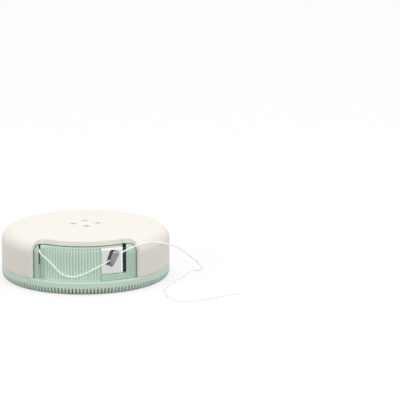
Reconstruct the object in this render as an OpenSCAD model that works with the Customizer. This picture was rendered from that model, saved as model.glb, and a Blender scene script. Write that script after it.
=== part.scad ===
// Round refillable dispenser for dental floss. A knurled tray and a domed cover make a
// shell that turns round an inner drum. Through the window in the cover the drum shows
// its thumb ribs, the thread slit and the cutter. A spool of thread turns on its post.
// Millimetres, Z up. The origin is the middle of the underside. The window faces -Y.
// Angles are measured from -Y towards +X.

/* [Shell] */
// Outside diameter of the tray and the cover
shell_d = 54; // [52:0.5:60]
// Height of the middle of the cover above the table
total_h = 17.1; // [16:0.1:20]
// Wall of the cover
cover_wall = 1.3; // [1:0.1:1.5]
// Radius of the rounded shoulder of the cover
shoulder_r = 4; // [3.2:0.1:5]
// Radius of the shallow dome of the cover
dome_r = 240; // [180:5:400]
// Gap left open in the seam between the cover and the tray
seam_gap = 0.1; // [0.05:0.05:0.3]

/* [Window] */
// Half of the angle that the window spans
window_half_deg = 39.5; // [34:0.5:42]
// Depth of the window's bite into the top, from the outside
window_bite = 5.7; // [4.5:0.1:6]
// Radius of the rounded inner corners of the bite
window_corner_r = 2; // [1:0.1:3]

/* [Vent holes] */
// Diameter of each small hole in the top
vent_d = 2; // [1:0.1:2.6]
// Diameter of the circle that the holes stand on
vent_circle_d = 7.8; // [6:0.1:10]
// Number of holes
vent_count = 4; // [3:1:6]
// Turn of the pattern of holes
vent_turn_deg = 5; // [0:1:45]

/* [Tray] */
// Height of the tray's rim, where the cover sits
rim_h = 4.1; // [3.8:0.1:5]
// Width of the ledge on top of the rim
rim_w = 1.5; // [1.3:0.1:1.8]
// Radius of the rounded lower corner of the rim
rim_corner_r = 2; // [1.5:0.1:2.4]
// Thickness of the tray's floor
tray_floor_t = 1.2; // [0.8:0.1:1.4]
// Height of the floor's underside above the table
foot_lift = 0.4; // [0.2:0.1:0.6]
// Width of the flat foot ring
foot_w = 5; // [3:0.5:8]
// Number of knurl teeth
tooth_count = 148; // [100:4:160]
// Width of the gap between two teeth
tooth_gap = 0.5; // [0.3:0.05:0.6]
// Height of the teeth
tooth_h = 2.2; // [1.6:0.1:2.6]
// Depth of the gaps at the top of the teeth
tooth_depth = 0.5; // [0.3:0.05:0.6]

/* [Snap tabs] */
// Number of tabs that hold the cover in the tray
tab_count = 3; // [3:1:3]
// Half of the angle that a tab spans
tab_half_deg = 7; // [4:1:12]
// Thickness of a tab
tab_t = 0.5; // [0.4:0.05:0.6]
// Length of a tab below the seam
tab_h = 1.1; // [0.8:0.1:1.4]
// Play of a tab in its notch
tab_play = 0.1; // [0.05:0.05:0.2]

/* [Drum] */
// Gap between the drum and the inside of the shell
turn_gap = 0.4; // [0.3:0.05:0.6]
// Gap between the drum's floor and the tray's floor
floor_gap = 0.2; // [0.1:0.05:0.4]
// Wall of the drum
drum_wall = 1.9; // [1.7:0.1:2.4]
// Thickness of the drum's floor
drum_floor_t = 1.2; // [1:0.1:1.6]
// Width of the lip round the drum's mouth
lip_w = 2.8; // [2.5:0.1:3.2]
// Thickness of the lip
lip_t = 1; // [0.8:0.1:1.2]
// Radius of the pivot stub in the tray's hub hole
stub_r = 5; // [4:0.5:7]
// Radial running clearance of every turning fit
run_gap = 0.08; // [0.05:0.01:0.1]
// Radius of the spool's post
post_r = 3.5; // [3:0.1:4]

/* [Thumb recess] */
// Depth of the recess in the drum's face
recess_depth = 0.7; // [0.6:0.05:0.8]
// Number of grooves between the thumb ribs
groove_count = 19; // [10:1:19]
// Angle from one groove to the next
groove_pitch_deg = 2.22; // [2:0.01:2.25]
// Width of a groove
groove_w = 0.45; // [0.3:0.05:0.55]
// Depth of a groove
groove_depth = 0.3; // [0.15:0.05:0.4]
// Width of the rib between the last groove and the cutter plate
last_rib_w = 0.1; // [0.05:0.05:0.2]
// Length that the grooves run in over the drum's rounded edge
groove_run = 1; // [0.6:0.1:1.4]
// Height of the plain foot under the grooves
groove_lift = 0.2; // [0.1:0.05:0.4]

/* [Thread slit] */
// Angle of the slit
slit_deg = -35.5; // [-36:0.5:-35]
// Width of the slit
slit_w = 0.8; // [0.75:0.05:0.9]
// Height of the slit, from the top of the drum down
slit_h = 5.7; // [4.5:0.1:7]
// Depth of the smooth strip beside the slit
strip_depth = 1.1; // [1:0.05:1.2]

/* [Cutter] */
// Angle of the plate's left edge
plate_left_deg = 11.7; // [11.5:0.1:12]
// Width of the plate along the drum's face
plate_w = 7; // [6.6:0.1:7.2]
// Height of the plate, from the top of the drum down
plate_h = 8.3; // [7.3:0.1:8.7]
// Thickness of the sheet
sheet_t = 0.3; // [0.2:0.05:0.35]
// Width of the slot beside the plate
slot_w = 1.1; // [0.9:0.1:1.3]
// Depth of the folded edge in the slot
fold_depth = 1.6; // [1:0.1:1.8]
// Width of the plate's turned end on top of the drum
hook_w = 0.6; // [0.3:0.1:0.9]
// Distance of the tang from the middle of the plate, to the right
tang_offset = 0.3; // [-0.1:0.1:0.5]
// Lean of the tang to the right
tang_lean_deg = 26; // [18:1:28]
// Distance of the middle of the tang below the top of the drum
tang_drop = 3.4; // [3.1:0.1:3.6]
// Length of the tang
tang_len = 5.2; // [4.5:0.1:5.4]
// Width of the tang at its free end
tang_top_w = 2.4; // [2:0.1:2.6]
// Width of the tang at its root
tang_root_w = 1.6; // [1.5:0.1:2]
// Thickness of the tang
tang_t = 0.2; // [0.15:0.05:0.2]
// Space for the thread under the tang
tang_space = 0.6; // [0.55:0.05:0.65]
// Gap between the tang's free end and the turning shell
tang_gap = 0.15; // [0.1:0.05:0.2]
// Side of the notch that catches the thread
notch_w = 0.5; // [0.3:0.1:0.6]
// Distance of the notch below the middle of the tang
notch_drop = 1.5; // [1:0.1:1.5]

/* [Spool] */
// Gap between the spool's flanges and the drum's lip
flange_gap = 1; // [0.8:0.1:3]
// Thickness of a flange
flange_t = 0.8; // [0.6:0.1:1.2]
// Radius of the spool's hub
hub_r = 6; // [5.5:0.1:8]
// Gap between the spool and the inside of the cover
spool_drop = 2.9; // [2.8:0.1:4.5]
// Play of the spool above the drum's floor
spool_lift = 0.3; // [0.2:0.05:0.4]
// Distance from the winding to the flanges' edge
winding_inset = 0.8; // [0.5:0.1:2]
// Radius of the keeper ring under the cover
keeper_r = 8.2; // [7:0.1:10]
// Wall of the keeper ring
keeper_t = 1.2; // [0.8:0.1:1.6]
// Gap between the keeper ring and the spool
keeper_gap = 0.4; // [0.3:0.05:0.6]

/* [Thread] */
// Diameter of the waxed thread
thread_d = 0.5; // [0.4:0.05:0.5]

/* [Hidden] */

$fn = 128;

// Overrun of every cut, steps of an arc in a profile and sides of the thread
overrun = 1;
corner_steps = 5;
shoulder_steps = 8;
dome_steps = 4;
thread_sides = 8;
lead_steps = 1;
free_steps = 2;

mint = [0.72, 0.81, 0.75];
bone = [0.96, 0.94, 0.90];
steel = [0.80, 0.80, 0.81];
white = [0.89, 0.94, 0.90];
pulp = [0.88, 0.85, 0.78];

shell_r = shell_d / 2;
inner_r = shell_r - cover_wall;
cover_z = rim_h + seam_gap;

// Middle of the shoulder's arc, which blends into the dome
shoulder_x = shell_r - shoulder_r;
dome_z = total_h - dome_r;
shoulder_z = dome_z + sqrt(pow(dome_r - shoulder_r, 2) - pow(shoulder_x, 2));
blend_deg = acos(shoulder_x / (dome_r - shoulder_r));

bite_r = shell_r - window_bite;
corner_r = bite_r + window_corner_r;
corner_deg = asin(window_corner_r / corner_r);

rim_inner_r = shell_r - rim_w;
tray_top_z = foot_lift + tray_floor_t;
foot_r = shell_r - rim_corner_r - foot_w;
tooth_foot_r = shell_r - rim_corner_r * 0.7;
notch_r = inner_r + tab_t + tab_play;

drum_r = inner_r - turn_gap;
drum_round_r = shoulder_r - cover_wall - turn_gap;
drum_top_z = shoulder_z + drum_round_r;
drum_z = tray_top_z + floor_gap;
drum_floor_z = drum_z + drum_floor_t;
cavity_r = drum_r - drum_wall;
lip_r = cavity_r - lip_w;
lip_z = drum_top_z - lip_t;

recess_r = drum_r - recess_depth;
recess_round_r = drum_round_r - recess_depth;
plate_right_deg = plate_left_deg + face_deg(plate_w);
slot_right_deg = plate_right_deg + face_deg(slot_w);
plate_foot_z = drum_top_z - plate_h;
slit_foot_z = drum_top_z - slit_h;
strip_r = drum_r - strip_depth;
ribs_left_deg = groove_deg(groove_count);
groove_foot_z = rim_h + groove_lift;
slot_inner_r = recess_r - fold_depth - turn_gap;

// Lengths of the slit and the slot, straight back from the drum's face
slit_run = 1.5 * (drum_wall + lip_w);
slot_run = 2 * drum_wall;

tang_r = recess_r + tang_space;
tang_deg = (plate_left_deg + plate_right_deg) / 2 + face_deg(tang_offset);
tang_mid_z = drum_top_z - tang_drop;

// Where the tang leaves the sheet, measured up along it from its middle
tang_root_z = 2 * sheet_t - tang_len / 2;

spool_z = drum_floor_z + spool_lift;
spool_top_z = total_h - cover_wall - spool_drop;
spool_h = spool_top_z - spool_z;
flange_r = lip_r - flange_gap;
winding_r = flange_r - winding_inset;
keeper_z = spool_top_z + keeper_gap;

// Angle that a width takes on the drum's face
function face_deg(w) = 180 / PI * w / recess_r;

// Points of an arc in the plane of a profile
function arc(x, z, r, from, to, steps) =
    [for (i = [0:steps]) let (a = from + (to - from) * i / steps) [x + r * cos(a), z + r * sin(a)]];

// Half section of a round body with a rounded upper edge
function round_top(r, round_r, low_z, top_z) = concat(
    [[0, low_z], [r, low_z]],
    arc(r - round_r, top_z - round_r, round_r, 0, 90, shoulder_steps),
    [[0, top_z]]);

// Upright wedge from one angle to another, from low_z to high_z
module wedge(from_deg, to_deg, low_z, high_z) {
    far = shell_d;
    middle_deg = (from_deg + to_deg) / 2;
    translate([0, 0, low_z])
        linear_extrude(high_z - low_z)
            polygon([
                [0, 0],
                [far * sin(from_deg), -far * cos(from_deg)],
                [far * sin(middle_deg), -far * cos(middle_deg)],
                [far * sin(to_deg), -far * cos(to_deg)]
            ]);
}

// Ring between two radii
module ring(inside_r, outside_r, low_z, high_z) {
    difference() {
        translate([0, 0, low_z]) cylinder(r = outside_r, h = high_z - low_z);
        translate([0, 0, low_z - overrun]) cylinder(r = inside_r, h = high_z - low_z + 2 * overrun);
    }
}

// Places its children on the front of the part at an angle and a radius
module at_angle(deg, r) {
    rotate([0, 0, deg]) translate([0, -r, 0]) children();
}

module tooth_gaps() {
    for (i = [0:tooth_count - 1])
        rotate([0, 0, 360 / tooth_count * i])
            rotate([90, 0, 0])
                linear_extrude(tooth_gap, center = true)
                    polygon([
                        [shell_r - tooth_depth, tooth_h],
                        [shell_r + overrun, tooth_h],
                        [shell_r + overrun, -overrun],
                        [tooth_foot_r, -overrun],
                        [tooth_foot_r, 0]
                    ]);
}

module tray() {
    color(mint)
        difference() {
            rotate_extrude()
                polygon(concat(
                    [[stub_r + run_gap, foot_lift], [foot_r, foot_lift], [foot_r + foot_lift, 0]],
                    arc(shell_r - rim_corner_r, rim_corner_r, rim_corner_r, -90, 0, corner_steps),
                    [[shell_r, rim_h], [rim_inner_r, rim_h], [rim_inner_r, tray_top_z],
                     [stub_r + run_gap, tray_top_z]]));
            tooth_gaps();
            for (i = [0:tab_count - 1])
                intersection() {
                    ring(rim_inner_r - overrun, notch_r, rim_h - tab_h - tab_play, rim_h + overrun);
                    tab_wedge(i, tab_half_deg + 2 * tab_play);
                }
        }
}

// Wedge of tab number i: the tabs stand clear of the window
module tab_wedge(i, half_deg) {
    middle_deg = 90 * (i + 1);
    wedge(middle_deg - half_deg, middle_deg + half_deg, 0, total_h);
}

module cover_body() {
    rotate_extrude()
        polygon(concat(
            [[inner_r, cover_z], [shell_r, cover_z]],
            arc(shoulder_x, shoulder_z, shoulder_r, 0, blend_deg, shoulder_steps),
            arc(0, dome_z, dome_r, blend_deg, 90, dome_steps),
            arc(0, dome_z, dome_r - cover_wall, 90, blend_deg, dome_steps),
            arc(shoulder_x, shoulder_z, shoulder_r - cover_wall, blend_deg, 0, shoulder_steps)));
}

// Space of the window: a wedge outside the bite, with round corners
module window_cut() {
    difference() {
        wedge(-window_half_deg, window_half_deg, 0, total_h + overrun);
        translate([0, 0, -overrun]) cylinder(r = corner_r, h = total_h + 3 * overrun);
    }
    intersection() {
        wedge(corner_deg - window_half_deg, window_half_deg - corner_deg, 0, total_h + overrun);
        ring(bite_r, corner_r + overrun, 0, total_h + overrun);
    }
    for (side = [-1, 1])
        at_angle(side * (window_half_deg - corner_deg), corner_r)
            cylinder(r = window_corner_r, h = total_h + overrun);
}

module cover() {
    color(bone)
        difference() {
            union() {
                cover_body();
                ring(keeper_r - keeper_t, keeper_r, keeper_z, total_h - cover_wall);
                for (i = [0:tab_count - 1])
                    intersection() {
                        ring(inner_r, inner_r + tab_t, rim_h - tab_h, cover_z + cover_wall);
                        tab_wedge(i, tab_half_deg);
                    }
            }
            window_cut();
            for (i = [0:vent_count - 1])
                at_angle(vent_turn_deg + 360 / vent_count * i, vent_circle_d / 2)
                    translate([0, 0, keeper_z]) cylinder(d = vent_d, h = total_h);
        }
}

// The drum's face where it is sunk for the thumb and the cutter
module recess_solid(sunk) {
    rotate_extrude()
        polygon(round_top(recess_r - sunk, recess_round_r - sunk, 0, drum_top_z - sunk));
}

// Space in front of the recess, from one angle to another and above low_z
module recess_cut(from_deg, to_deg, low_z) {
    difference() {
        wedge(from_deg, to_deg, low_z, drum_top_z);
        recess_solid(0);
    }
}

// Angle of groove number i, counted from the cutter plate to the left
function groove_deg(i) =
    plate_left_deg - asin((groove_w / 2 + last_rib_w) / recess_r) - groove_pitch_deg * i;

module groove_cuts() {
    difference() {
        for (i = [0:groove_count - 1])
            at_angle(groove_deg(i), drum_r + overrun)
                translate([-groove_w / 2, 0, groove_foot_z])
                    cube([groove_w, overrun + recess_depth + groove_run, drum_top_z]);
        recess_solid(groove_depth);
    }
}

// Cut through the wall that runs straight back from the face at an angle, and through the top
module straight_cut(deg, from_x, width, low_z, depth) {
    translate([drum_r * sin(deg) + from_x, -drum_r * cos(deg) - overrun, low_z])
        cube([width, depth + overrun, drum_top_z]);
}

module inner_drum() {
    color(mint)
        difference() {
            union() {
                rotate_extrude()
                    polygon(round_top(drum_r, drum_round_r, drum_z, drum_top_z));
                translate([0, 0, foot_lift]) cylinder(r = stub_r, h = drum_z - foot_lift + drum_floor_t);
            }
            difference() {
                union() {
                    translate([0, 0, drum_floor_z]) cylinder(r = cavity_r, h = lip_z - drum_floor_z);
                    translate([0, 0, drum_floor_z]) cylinder(r = lip_r, h = drum_top_z);
                }
                cylinder(r = post_r, h = spool_top_z);
            }
            recess_cut(slit_deg, plate_left_deg, rim_h);
            recess_cut(plate_left_deg, slot_right_deg, plate_foot_z);
            groove_cuts();
            intersection() {
                wedge(slit_deg, ribs_left_deg, rim_h, drum_top_z + overrun);
                ring(strip_r, drum_r + overrun, rim_h, drum_top_z + overrun);
            }
            straight_cut(slit_deg, 0, slit_w, slit_foot_z, slit_run);
            straight_cut(slot_right_deg, -slot_w, slot_w, plate_foot_z, slot_run);
            intersection() {
                wedge(plate_right_deg, slot_right_deg, plate_foot_z, drum_top_z + overrun);
                ring(slot_inner_r, drum_r + overrun, plate_foot_z, drum_top_z + overrun);
            }
            tang_slab(0, tang_root_z);
            intersection() {
                wedge(plate_left_deg, plate_right_deg, plate_foot_z, drum_top_z + overrun);
                difference() {
                    recess_solid(-overrun);
                    recess_solid(sheet_t);
                    cylinder(r = hook_r(), h = drum_top_z + overrun);
                }
            }
        }
}

function hook_r() = recess_r - recess_round_r - hook_w;

// Space that the turning shell leaves free, less a gap
module turning_space(gap) {
    round_r = shoulder_r - cover_wall - gap;
    rotate_extrude()
        polygon(round_top(inner_r - gap, round_r, 0, shoulder_z + round_r));
}

// Outline of the tang in its own plane: Y runs along its length
module tang_outline(grow) {
    half = tang_len / 2 + grow;
    root = tang_root_w / 2 + grow;
    top = tang_top_w / 2 + grow;
    polygon([[-root, -half], [root, -half], [top, half], [-top, half]]);
}

// Upright slab of the tang's outline, which the tang and its opening are cut from
module tang_slab(grow, low_z) {
    at_angle(tang_deg, drum_r + overrun)
        translate([0, 0, tang_mid_z])
            rotate([0, tang_lean_deg, 0])
                rotate([90, 0, 180])
                    intersection() {
                        linear_extrude(drum_wall + recess_depth + overrun) tang_outline(grow);
                        translate([-tang_len, low_z, -overrun])
                            cube([2 * tang_len, 2 * tang_len, 2 * drum_r]);
                    }
}

module cutter_plate() {
    color(steel) {
        difference() {
            intersection() {
                wedge(plate_left_deg, plate_right_deg, plate_foot_z, drum_top_z);
                difference() {
                    recess_solid(0);
                    recess_solid(sheet_t);
                    cylinder(r = hook_r(), h = drum_top_z + overrun);
                }
            }
            tang_slab(sheet_t, sheet_t - tang_len / 2);
        }
        intersection() {
            wedge(plate_right_deg, plate_right_deg + face_deg(slot_w / 4), plate_foot_z, lip_z);
            ring(recess_r - fold_depth, recess_r, plate_foot_z, lip_z);
        }
        difference() {
            intersection() {
                tang_slab(0, -tang_len / 2);
                ring(tang_r, tang_r + tang_t, 0, total_h);
                turning_space(tang_gap);
            }
            at_angle(tang_deg, drum_r)
                translate([0, 0, tang_mid_z])
                    rotate([0, tang_lean_deg, 0])
                        translate([-(tang_root_w + notch_w) / 2, 0, -notch_drop])
                            cube([notch_w * 2, 2 * drum_wall, notch_w], center = true);
        }
        intersection() {
            difference() {
                tang_slab(0, -tang_len / 2);
                tang_slab(overrun, tang_root_z);
            }
            ring(recess_r - sheet_t, tang_r + tang_t, 0, total_h);
        }
    }
}

module spool() {
    color(pulp)
        difference() {
            union() {
                for (z = [spool_z, spool_top_z - flange_t])
                    translate([0, 0, z]) cylinder(r = flange_r, h = flange_t);
                translate([0, 0, spool_z]) cylinder(r = hub_r, h = spool_h);
            }
            translate([0, 0, spool_z - overrun]) cylinder(r = post_r + run_gap, h = spool_h + 2 * overrun);
        }
}

module floss_winding() {
    color(white)
        ring(hub_r, winding_r, spool_z + flange_t, spool_top_z - flange_t);
}

// Route of the thread inside the drum, from the winding to the slit
lead_route = [
    [-18.6, 4.8, 8.2],
    [-19.4, 1, 8.9],
    [-19.9, -3, 9.8],
    [-19.7, -7, 10.9],
    [-18.5, -10.7, 11.9],
    [-17, -13.4, 12.6],
    [-15.7, -15.5, 12.9],
    [-14.75, -17.2, 12.9],
    [-14.38, -18.1, 12.9],
    [-14.28, -18.75, 12.9]
];

// Route of the free thread: out of the slit, across the ribs, under the tang, past the
// window's corner, down to the table and along it to its bare end
free_route = [
    [-14.28, -18.75, 12.9],
    [-14.27, -19.2, 12.9],
    [-14.27, -19.65, 12.84],
    [-14.2, -20.06, 12.7],
    [-14.04, -20.42, 12.48],
    [-13.76, -20.75, 12.18],
    [-13.37, -21.03, 11.84],
    [-12.55, -21.52, 11.15],
    [-10.8, -22.5, 9.7],
    [-9, -23.3, 7.9],
    [-6.9, -23.95, 6.2],
    [-4.5, -24.55, 5.6],
    [-1.9, -24.85, 6],
    [0.6, -24.95, 7],
    [4.4, -24.55, 8.85],
    [8.2, -23.5, 10.8],
    [10.4, -22.6, 12.1],
    [12.1, -22, 13],
    [13.5, -21.5, 13.6],
    [15, -21.3, 14.2],
    [16.8, -21.5, 14.9],
    [18.7, -21, 15.4],
    [21, -19, 15.1],
    [23.5, -15.6, 14.2],
    [25.8, -12, 12.9],
    [28.2, -9.4, 11.5],
    [31.2, -7.2, 9.3],
    [34, -5, 6.7],
    [36.2, -2.6, 4.2],
    [37.5, 0.4, 1.6],
    [36.8, 2.8, 0.45],
    [34.8, 2.9, 0.3],
    [33, -0.4, 0.3],
    [30.8, -6, 0.3],
    [27.5, -12.8, 0.3],
    [25, -21, 0.3],
    [25.6, -28.6, 0.3],
    [29, -34.8, 0.3],
    [35.8, -33.6, 0.3],
    [48, -26.8, 0.3]
];

// A point of the smooth curve through the route: t runs from 0 to 1 along step i
function curve_point(p, i, t) =
    let (
        last = len(p) - 1,
        before = i > 0 ? p[i - 1] : 2 * p[0] - p[1],
        after = i + 2 <= last ? p[i + 2] : 2 * p[last] - p[last - 1],
        a = p[i + 1] - before,
        b = after - p[i],
        chord = p[i + 1] - p[i])
    p[i] + t * a / 2
        + t * t * (3 * chord - a - b / 2)
        + t * t * t * (a / 2 + b / 2 - 2 * chord);

function curve(p, steps) = concat(
    [for (i = [0:len(p) - 2], k = [0:steps - 1]) curve_point(p, i, k / steps)],
    [p[len(p) - 1]]);

function unit(v) = v / norm(v);

// Directions of the curve, and normals that turn with it and don't spin
function directions(c) = [for (i = [0:len(c) - 1]) unit(c[min(i + 1, len(c) - 1)] - c[max(i - 1, 0)])];
function flatten(v, along) = unit(v - (v * along) * along);
function normals(d, i, found) =
    i == len(d) ? found : normals(d, i + 1, concat(found, [flatten(found[i - 1], d[i])]));

// A tube of the thread's diameter along a route, as one closed skin
module thread_tube(route, steps) {
    c = curve(route, steps);
    d = directions(c);
    n = normals(d, 1, [flatten([0, 0, 1], d[0])]);
    rings = len(c);
    skin = [
        for (i = [0:rings - 1], k = [0:thread_sides - 1])
            let (a = 360 * k / thread_sides)
            c[i] + thread_d / 2 * (cos(a) * n[i] + sin(a) * cross(d[i], n[i]))
    ];
    sides = [
        for (i = [0:rings - 2], k = [0:thread_sides - 1])
            let (here = i * thread_sides, there = here + thread_sides, next = (k + 1) % thread_sides)
            [here + k, there + k, there + next, here + next]
    ];
    start = [for (k = [0:thread_sides - 1]) k];
    end = [for (k = [thread_sides - 1:-1:0]) (rings - 1) * thread_sides + k];
    polyhedron(skin, concat([start], sides, [end]));
}

module floss_lead() {
    color(white) thread_tube(lead_route, lead_steps);
}

module floss_free() {
    color(white) thread_tube(free_route, free_steps);
}

tray();
cover();
inner_drum();
cutter_plate();
spool();
floss_winding();
floss_lead();
floss_free();
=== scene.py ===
import math

import bmesh
import bpy
from mathutils import Matrix, Vector


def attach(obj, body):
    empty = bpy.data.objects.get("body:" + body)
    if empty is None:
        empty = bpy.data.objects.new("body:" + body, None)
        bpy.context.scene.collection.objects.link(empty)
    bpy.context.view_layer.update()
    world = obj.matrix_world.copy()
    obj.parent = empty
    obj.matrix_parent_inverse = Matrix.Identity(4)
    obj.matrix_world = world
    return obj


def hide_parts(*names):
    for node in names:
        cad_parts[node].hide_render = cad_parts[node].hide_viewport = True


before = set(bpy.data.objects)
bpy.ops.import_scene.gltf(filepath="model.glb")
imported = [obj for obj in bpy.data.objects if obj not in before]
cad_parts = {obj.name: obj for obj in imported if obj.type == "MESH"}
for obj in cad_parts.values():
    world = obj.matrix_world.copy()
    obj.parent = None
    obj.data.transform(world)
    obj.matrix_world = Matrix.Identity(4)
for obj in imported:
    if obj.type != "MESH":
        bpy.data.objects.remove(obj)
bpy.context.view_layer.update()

# Pieces are drawn in millimetres and shrunk to metres when they are done.
# An angle is counted from the window's middle, -Y, and grows towards +X.
mm = 0.001
tiny = 0.0005  # closer points are one point


# The camera stands where the photograph was taken from
view = {
    "place": (0.00875, -0.7163, 0.18594),
    "tilt": math.pi / 2 - 0.22176,
    "swing": -0.03924,
    "lens": 205.6,
    "sensor": 36,
}

bpy.ops.object.camera_add(location=view["place"], rotation=(view["tilt"], 0, view["swing"]))
camera = bpy.context.object
camera.name = "photoCamera"
camera.data.sensor_width = view["sensor"]
camera.data.lens = view["lens"]
bpy.context.scene.camera = camera
print("camera set")


# The thread comes first: everything else is built round it
thread = {
    "across": 0.5,
    "spacing": 0.1,  # between the rings of points along it
    "sides": 15,
    "plies": 3,
    "plyDepth": 0.05,
    "lay": 1.7,  # length of one turn of the twist
}

leadRoute = [
    (-18.6, 4.8, 8.2), (-19.4, 1, 8.9), (-19.9, -3, 9.8), (-19.7, -7, 10.9), (-18.5, -10.7, 11.9),
    (-17, -13.4, 12.6), (-15.7, -15.5, 12.9), (-14.75, -17.2, 12.9), (-14.38, -18.1, 12.9),
    (-14.28, -18.75, 12.9),
]

# Out of the slit, across the ribs, under the tang, past the window's corner and down to the table
freeRoute = [
    (-14.28, -18.75, 12.9), (-14.27, -19.2, 12.9), (-14.27, -19.65, 12.84), (-14.2, -20.06, 12.7),
    (-14.04, -20.42, 12.48), (-13.76, -20.75, 12.18), (-13.37, -21.03, 11.84), (-12.55, -21.52, 11.15),
    (-10.8, -22.5, 9.7), (-9, -23.3, 7.9), (-6.9, -23.95, 6.2), (-4.5, -24.55, 5.6),
    (-1.9, -24.85, 6), (0.6, -24.95, 7), (4.4, -24.55, 8.85), (8.2, -23.5, 10.8),
    (10.4, -22.6, 12.1), (12.1, -22, 13), (13.5, -21.5, 13.6), (15, -21.3, 14.2),
    (16.8, -21.5, 14.9), (18.7, -21, 15.4), (21, -19, 15.1), (23.5, -15.6, 14.2),
    (25.8, -12, 12.9), (28.2, -9.4, 11.5), (31.2, -7.2, 9.3), (34, -5, 6.7),
    (36.2, -2.6, 4.2), (37.5, 0.4, 1.6), (36.8, 2.8, 0.45), (34.8, 2.9, 0.3),
    (33, -0.4, 0.3), (30.8, -6, 0.3), (27.5, -12.8, 0.3), (25, -21, 0.3),
    (25.6, -28.6, 0.3), (29, -34.8, 0.3), (35.8, -33.6, 0.3), (48, -26.8, 0.3),
]


def smoothLine(route, spacing):
    # Evenly spaced points of the smooth curve through a route
    points = [Vector(p) for p in route]
    ends = [2 * points[0] - points[1]] + points + [2 * points[-1] - points[-2]]
    fine = []
    for i in range(len(points) - 1):
        before, here, there, after = ends[i:i + 4]
        for k in range(24):
            t = k / 24
            a, b, chord = there - before, after - here, there - here
            fine.append(here + a * t / 2 + (3 * chord - a - b / 2) * t ** 2
                        + (a / 2 + b / 2 - 2 * chord) * t ** 3)
    fine.append(points[-1])
    run = [0]
    for a, b in zip(fine, fine[1:]):
        run.append(run[-1] + (b - a).length)
    count = round(run[-1] / spacing)
    line, i = [], 0
    for k in range(count + 1):
        at = run[-1] * k / count
        while i < len(fine) - 2 and run[i + 1] < at:
            i += 1
        line.append(fine[i].lerp(fine[i + 1], (at - run[i]) / (run[i + 1] - run[i])))
    return line, run[-1]


def sweepThread(name, route):
    # A closed skin of twisted plies along a route, with a UV map that follows it
    line, length = smoothLine(route, thread["spacing"])
    sides, step = thread["sides"], length / (len(line) - 1)
    points, faces, normal = [], [], Vector((0, 0, 1))
    for i, centre in enumerate(line):
        along = (line[min(i + 1, len(line) - 1)] - line[max(i - 1, 0)]).normalized()
        normal = (normal - along * normal.dot(along)).normalized()
        side = along.cross(normal)
        twist = math.tau * i * step / thread["lay"]
        for k in range(sides):
            turn = math.tau * k / sides
            wave = (1 - math.cos(thread["plies"] * (turn - twist))) / 2
            r = thread["across"] / 2 - thread["plyDepth"] * wave
            points.append(centre + r * (math.cos(turn) * normal + math.sin(turn) * side))
    for i in range(len(line) - 1):
        for k in range(sides):
            a, b = i * sides, i * sides + (k + 1) % sides
            faces.append((a + k, b, b + sides, a + sides + k))
    faces.append(tuple(reversed(range(sides))))
    faces.append(tuple(range((len(line) - 1) * sides, len(line) * sides)))
    mesh = bpy.data.meshes.new(name)
    mesh.from_pydata([p * mm for p in points], [], faces)
    uv = mesh.uv_layers.new(name="UVMap")
    for face in mesh.polygons:
        # The last face of each ring ends at the map's far side
        last = face.index < len(faces) - 2 and face.index % sides == sides - 1
        for corner, loop in zip(face.vertices, face.loop_indices):
            k = corner % sides
            turn = 1 if last and k == 0 else k / sides
            uv.data[loop].uv = (turn, corner // sides * step / thread["lay"])
    piece = bpy.data.objects.new(name, mesh)
    bpy.context.collection.objects.link(piece)
    for face in mesh.polygons:
        face.use_smooth = face.index < len(faces) - 2
    return piece, [p * mm for p in line], length


freePiece, freeLine, freeLength = sweepThread("threadFree", freeRoute)
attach(freePiece, "drum")
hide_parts("floss_free")
print("free thread", round(freeLength, 1), "mm")

leadPiece = sweepThread("threadLead", leadRoute)[0]
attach(leadPiece, "drum")
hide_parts("floss_lead")
print("thread inside the drum done")


def deselectAll():
    if bpy.context.object and bpy.context.object.mode != "OBJECT":
        bpy.ops.object.mode_set(mode="OBJECT")
    bpy.ops.object.select_all(action="DESELECT")


def pick(piece):
    deselectAll()
    piece.select_set(True)
    bpy.context.view_layer.objects.active = piece


def placeAt(deg, r, z):
    turn = math.radians(deg)
    return Vector((r * math.sin(turn), -r * math.cos(turn), z))


def arc(x, z, r, start, end, steps):
    turns = [math.radians(start + (end - start) * i / steps) for i in range(steps + 1)]
    return [(x + r * math.cos(a), z + r * math.sin(a)) for a in turns]


def drawLine(name, points):
    # A line of points, each extruded from the last, left in edit mode
    deselectAll()
    bpy.ops.mesh.primitive_plane_add(size=1, location=(0, 0, 0))
    piece = bpy.context.object
    piece.name = name
    bpy.ops.object.mode_set(mode="EDIT")
    bpy.ops.mesh.select_mode(type="VERT")
    bpy.ops.mesh.select_all(action="SELECT")
    bpy.ops.mesh.merge(type="CENTER")
    bpy.ops.mesh.select_all(action="SELECT")
    bpy.ops.transform.translate(value=points[0])
    for a, b in zip(points, points[1:]):
        bpy.ops.mesh.extrude_vertices_move(TRANSFORM_OT_translate={"value": Vector(b) - Vector(a)})
    return piece


def spinBy(degrees, steps):
    # The operator turns clockwise, so the angle's sign is changed
    bpy.ops.mesh.spin(steps=steps, angle=-math.radians(degrees), center=(0, 0, 0), axis=(0, 0, 1))


def closeSkin():
    bpy.ops.mesh.select_all(action="SELECT")
    bpy.ops.mesh.remove_doubles(threshold=tiny)
    bpy.ops.mesh.select_all(action="SELECT")
    bpy.ops.mesh.normals_make_consistent(inside=False)
    bpy.ops.object.mode_set(mode="OBJECT")


def spinRound(name, line, steps, startDeg=0.0, loop=False):
    # A body of a full turn: an open line starts and ends on the axis
    if loop:
        line = line + [line[0]]
    piece = drawLine(name, [placeAt(startDeg, r, z) for r, z in line])
    bpy.ops.mesh.select_all(action="SELECT")
    spinBy(360, steps)
    closeSkin()
    return piece


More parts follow.
